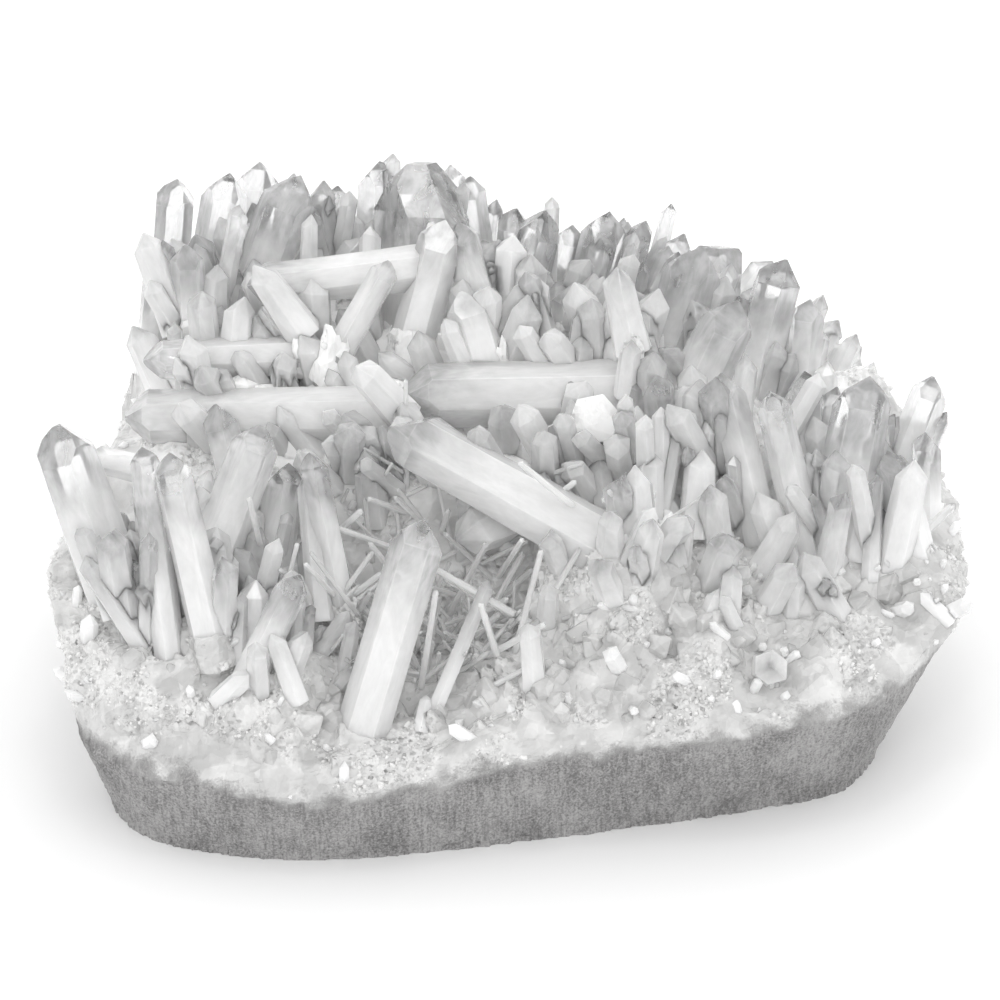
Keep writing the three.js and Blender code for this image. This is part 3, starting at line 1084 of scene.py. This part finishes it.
def grow_crust(name, rock, seed, count, widths, slimnesses, sugary, front):
    """Small crystals standing on the front or the back of the rock."""
    dice = random.Random(seed)
    templates = template_set(slimnesses, seed)
    sawn = rock.attributes["sawn"].data
    sugar = rock.attributes["sugar"].data
    spots = [
        vert.index
        for vert in rock.vertices
        if sawn[vert.index].value < 0.15
        and (not sugary or sugar[vert.index].value > 0.5)
        and vert.normal.z > -0.4
        and (vert.co.y < 0) == front
    ]
    thicket = Thicket(name)
    for _ in range(count):
        vert = rock.vertices[dice.choice(spots)]
        width = dice.uniform(*widths) * (0.6 + 0.8 * dice.random() ** 2)
        lean = Vector(dice.gauss(0, 0.45) for _ in range(3))
        way = (vert.normal * 0.9 + UP * 0.35 + lean).normalized()
        spot = vert.co - way * width * (0.2 if sugary else 0.7) * MM
        milk = dice.uniform(0.4, 0.95)
        template, spin = dice.choice(templates), dice.uniform(0, math.tau)
        thicket.grow(template, spot, way, width * MM, spin, milk)
    return thicket.mesh()


# The needles: the middle and the spread of their feet, the most height of a foot and their
# widths in millimetres, and the ways sideways that they lean.
NEEDLE_FEET = (-10, 10), (-20, 6)
NEEDLE_TOP = 36
NEEDLE_WIDTHS = (0.45, 1.05)
NEEDLE_LEANS = (-0.7, -0.2, 0.5, 0.9)


def grow_needles(name, ground, count, seed):
    """Thin needles that cross in the hollow."""
    dice = random.Random(seed)
    templates = template_set((9, 13, 18), seed)
    lines = large_crystals()
    thicket = Thicket(name)
    for _ in range(count):
        x, y = (dice.gauss(*spread) for spread in NEEDLE_FEET)
        spot, _ = ground.below(x, y)
        width = dice.uniform(*NEEDLE_WIDTHS)
        way = scattered_way((dice.choice(NEEDLE_LEANS), -0.35, 0.9), 0.4, dice)
        spin = dice.uniform(0, math.tau)
        shape = dice.choice(templates)
        milk = dice.uniform(0.5, 0.85)
        if spot is None or spot.z > NEEDLE_TOP * MM:
            continue
        if crowded(spot, way * shape[2] * width * MM, lines, (0.4, 0.7, 1)):
            continue
        thicket.grow(shape, spot, way, width * MM, spin, milk)
    return thicket.mesh()


# ---------------------------------------------------------------- operators


# Where the random numbers of each kind of piece start.
POINT_SEED, SMALL_SEED, NEEDLE_SEED, CORE_SEED, LUMP_SEED = 1, 101, 301, 401, 77


def material(name, make):
    """The finished material of that name, made when it is first asked for."""
    found = bpy.data.materials.get(name)
    return found or make(bpy.context.scene.quartz_colours)


class QUARTZ_OT_matrix(bpy.types.Operator):
    """Builds the rough matrix with its sugary crust and sawn foot"""

    bl_idname = "quartz.matrix"
    bl_label = "Matrix"

    def execute(self, context):
        mesh = rock_mesh(context.scene.quartz_sizes)
        finish = material("milky_matrix", crust_finish)
        new_piece("matrix_rock", mesh, finish, ROCK_SLOT, MATRIX_NODE)
        return {"FINISHED"}


class QUARTZ_OT_points(bpy.types.Operator):
    """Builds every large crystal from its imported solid"""

    bl_idname = "quartz.points"
    bl_label = "Large crystals"

    def execute(self, context):
        finish = material("glassy_quartz", quartz_finish)
        for seed, node in enumerate(POINT_NODES):
            mesh = point_mesh(node, context.scene.quartz_sizes, seed + POINT_SEED)
            new_piece("quartz_" + node, mesh, finish, CRYSTAL_SLOT, node)
        return {"FINISHED"}


class QUARTZ_OT_cores(bpy.types.Operator):
    """Builds the milky insides of the large crystals"""

    bl_idname = "quartz.cores"
    bl_label = "Milky cores"

    def execute(self, context):
        mesh = cores_mesh(context.scene.quartz_sizes, CORE_SEED)
        new_piece("milky_cores", mesh, material("milky_core", core_finish), CRYSTAL_SLOT)
        return {"FINISHED"}


class QUARTZ_OT_small_points(bpy.types.Operator):
    """Fills the spaces between the large crystals with smaller ones"""

    bl_idname = "quartz.small_points"
    bl_label = "Small crystals"

    def execute(self, context):
        finish = material("glassy_quartz", quartz_finish)
        ground = Ground(bpy.data.objects["matrix_rock"])
        for seed, name in enumerate(THICKETS):
            mesh = grow_small_points(name, ground, seed + SMALL_SEED)
            new_piece(name, mesh, finish, CRYSTAL_SLOT)
        return {"FINISHED"}


class QUARTZ_OT_lumps(bpy.types.Operator):
    """Thickens the crust with half-buried lumps of the same quartz"""

    bl_idname = "quartz.lumps"
    bl_label = "Crust lumps"

    def execute(self, context):
        finish = material("milky_matrix", crust_finish)
        for mesh in Lumps(bpy.data.objects["matrix_rock"], LUMP_SEED).grow():
            mark_crust(mesh)
            new_piece(mesh.name, mesh, finish, ROCK_SLOT)
        return {"FINISHED"}


class QUARTZ_OT_crust(bpy.types.Operator):
    """Covers the crust with small stubby crystals and fine grains"""

    bl_idname = "quartz.crust"
    bl_label = "Sugary crust"

    def execute(self, context):
        icy = material("sugary_quartz", druse_finish)
        sugar = material("sugar_grains", grain_finish)
        rock = bpy.data.objects["matrix_rock"].data
        for name, seed, count, widths, slims, sugary, front in CRUST_LAYERS:
            mesh = grow_crust(name, rock, seed, count, widths, slims, sugary, front)
            new_piece(name, mesh, sugar if sugary else icy, ROCK_SLOT)
        return {"FINISHED"}


class QUARTZ_OT_needles(bpy.types.Operator):
    """Grows the needles in the hollow"""

    bl_idname = "quartz.needles"
    bl_label = "Needles"

    def execute(self, context):
        finish = material("glassy_quartz", quartz_finish)
        ground = Ground(bpy.data.objects["matrix_rock"])
        count = context.scene.quartz_sizes.needle_count
        mesh = grow_needles("needles_hollow", ground, count, NEEDLE_SEED)
        new_piece("needles_hollow", mesh, finish, CRYSTAL_SLOT)
        return {"FINISHED"}


CAMERA_HEIGHT_ANGLE = math.radians(30)
CAMERA_DISTANCE = 520
CAMERA_TARGET = (-1.3, 3.8, 25)
LENS, SENSOR = 134.4, 36.0
HORIZON_LIGHT, OVERHEAD_LIGHT = 1.32, 1.12
BOUNCES = {"max": 24, "transmission": 24, "transparent_max": 24, "diffuse": 12, "glossy": 6}
FLOOR_REACH = 3000
FLOOR_COLOUR = (0.93, 0.93, 0.93)

# The lamps: where each is, its size in millimetres and its power in watts.
LAMPS = {
    "key": ((-260, -160, 520), 340, 0.16),
    "back_light": ((120, 420, 420), 380, 0.4),
    "overhead_light": ((4, -33, 560), 70, 0.1),
    "glint_light": ((-90, -420, 460), 40, 0.1),
}


def soft_light(name, place, size, power):
    """A square area light at a place in millimetres, aimed at the cluster."""
    data = bpy.data.lights.new(name, "AREA")
    data.shape = "SQUARE"
    data.size = size * MM
    data.energy = power
    lamp = bpy.data.objects.new(name, data)
    lamp.location = Vector(place) * MM
    aim = Vector(CAMERA_TARGET) * MM - lamp.location
    lamp.rotation_euler = aim.to_track_quat("-Z", "Y").to_euler()
    bpy.context.scene.collection.objects.link(lamp)


def studio_world():
    """A white studio, a little brighter toward the horizon than overhead."""
    finish = Finish("studio", bpy.data.worlds)
    where = finish.out(finish.node("ShaderNodeTexCoord"), "Generated")
    height = finish.out(finish.node("ShaderNodeSeparateXYZ", None, {0: where}), "Z")
    brightness = height.between(0.0, 0.7) * (OVERHEAD_LIGHT - HORIZON_LIGHT) + HORIZON_LIGHT
    sockets = {"Color": (1, 1, 1), "Strength": brightness}
    sky = finish.node("ShaderNodeBackground", None, sockets)
    return finish.show(sky, "ShaderNodeOutputWorld")


def add_floor():
    """The wide pale floor that the cluster rests on."""
    bm = bmesh.new()
    bmesh.ops.create_grid(bm, x_segments=1, y_segments=1, size=FLOOR_REACH * MM)
    mesh = bpy.data.meshes.new("floor")
    bm.to_mesh(mesh)
    bm.free()
    floor = bpy.data.objects.new("floor", mesh)
    bpy.context.scene.collection.objects.link(floor)
    finish = Finish("pale_floor")
    mesh.materials.append(finish.show(finish.body(FLOOR_COLOUR, 0.7)))


def add_camera(scene):
    """The camera, looking down at the front of the cluster."""
    data = bpy.data.cameras.new("camera")
    data.lens = LENS
    data.sensor_width = SENSOR
    data.clip_start = 0.01
    camera = bpy.data.objects.new("camera", data)
    way = Vector((0, math.cos(CAMERA_HEIGHT_ANGLE), -math.sin(CAMERA_HEIGHT_ANGLE)))
    camera.location = Vector(CAMERA_TARGET) * MM - way * CAMERA_DISTANCE * MM
    camera.rotation_euler = way.to_track_quat("-Z", "Y").to_euler()
    scene.collection.objects.link(camera)
    scene.camera = camera


class QUARTZ_OT_stage(bpy.types.Operator):
    """Sets the floor, the soft lights and the camera"""

    bl_idname = "quartz.stage"
    bl_label = "Stage"

    def execute(self, context):
        scene = context.scene
        add_floor()
        add_camera(scene)
        scene.world = studio_world()
        for name, lamp in LAMPS.items():
            soft_light(name, *lamp)
        scene.view_settings.view_transform = "Standard"
        for kind, count in BOUNCES.items():
            setattr(scene.cycles, kind + "_bounces", count)
        return {"FINISHED"}


class QUARTZ_PT_panel(bpy.types.Panel):
    """Lists what builds the cluster"""

    bl_idname = "QUARTZ_PT_panel"
    bl_label = "Quartz cluster"
    bl_space_type = "VIEW_3D"
    bl_region_type = "UI"
    bl_category = "Quartz"

    def draw(self, context):
        layout = self.layout
        for group in (context.scene.quartz_sizes, context.scene.quartz_colours):
            for name in group.bl_rna.properties.keys():
                if name not in {"rna_type", "name"}:
                    layout.prop(group, name)
        for operator in BUILD_ORDER:
            layout.operator(operator.bl_idname)


BUILD_ORDER = (
    QUARTZ_OT_stage,
    QUARTZ_OT_matrix,
    QUARTZ_OT_points,
    QUARTZ_OT_cores,
    QUARTZ_OT_small_points,
    QUARTZ_OT_lumps,
    QUARTZ_OT_crust,
    QUARTZ_OT_needles,
)
CLASSES = (ClusterSizes, ClusterColours, *BUILD_ORDER, QUARTZ_PT_panel)


def register():
    for entry in CLASSES:
        bpy.utils.register_class(entry)
    bpy.types.Scene.quartz_sizes = PointerProperty(type=ClusterSizes)
    bpy.types.Scene.quartz_colours = PointerProperty(type=ClusterColours)


def unregister():
    del bpy.types.Scene.quartz_colours
    del bpy.types.Scene.quartz_sizes
    for entry in reversed(CLASSES):
        bpy.utils.unregister_class(entry)


def main():
    register()
    for operator in BUILD_ORDER:
        section, name = operator.bl_idname.split(".")
        getattr(getattr(bpy.ops, section), name)()


if __name__ == "__main__":
    main()
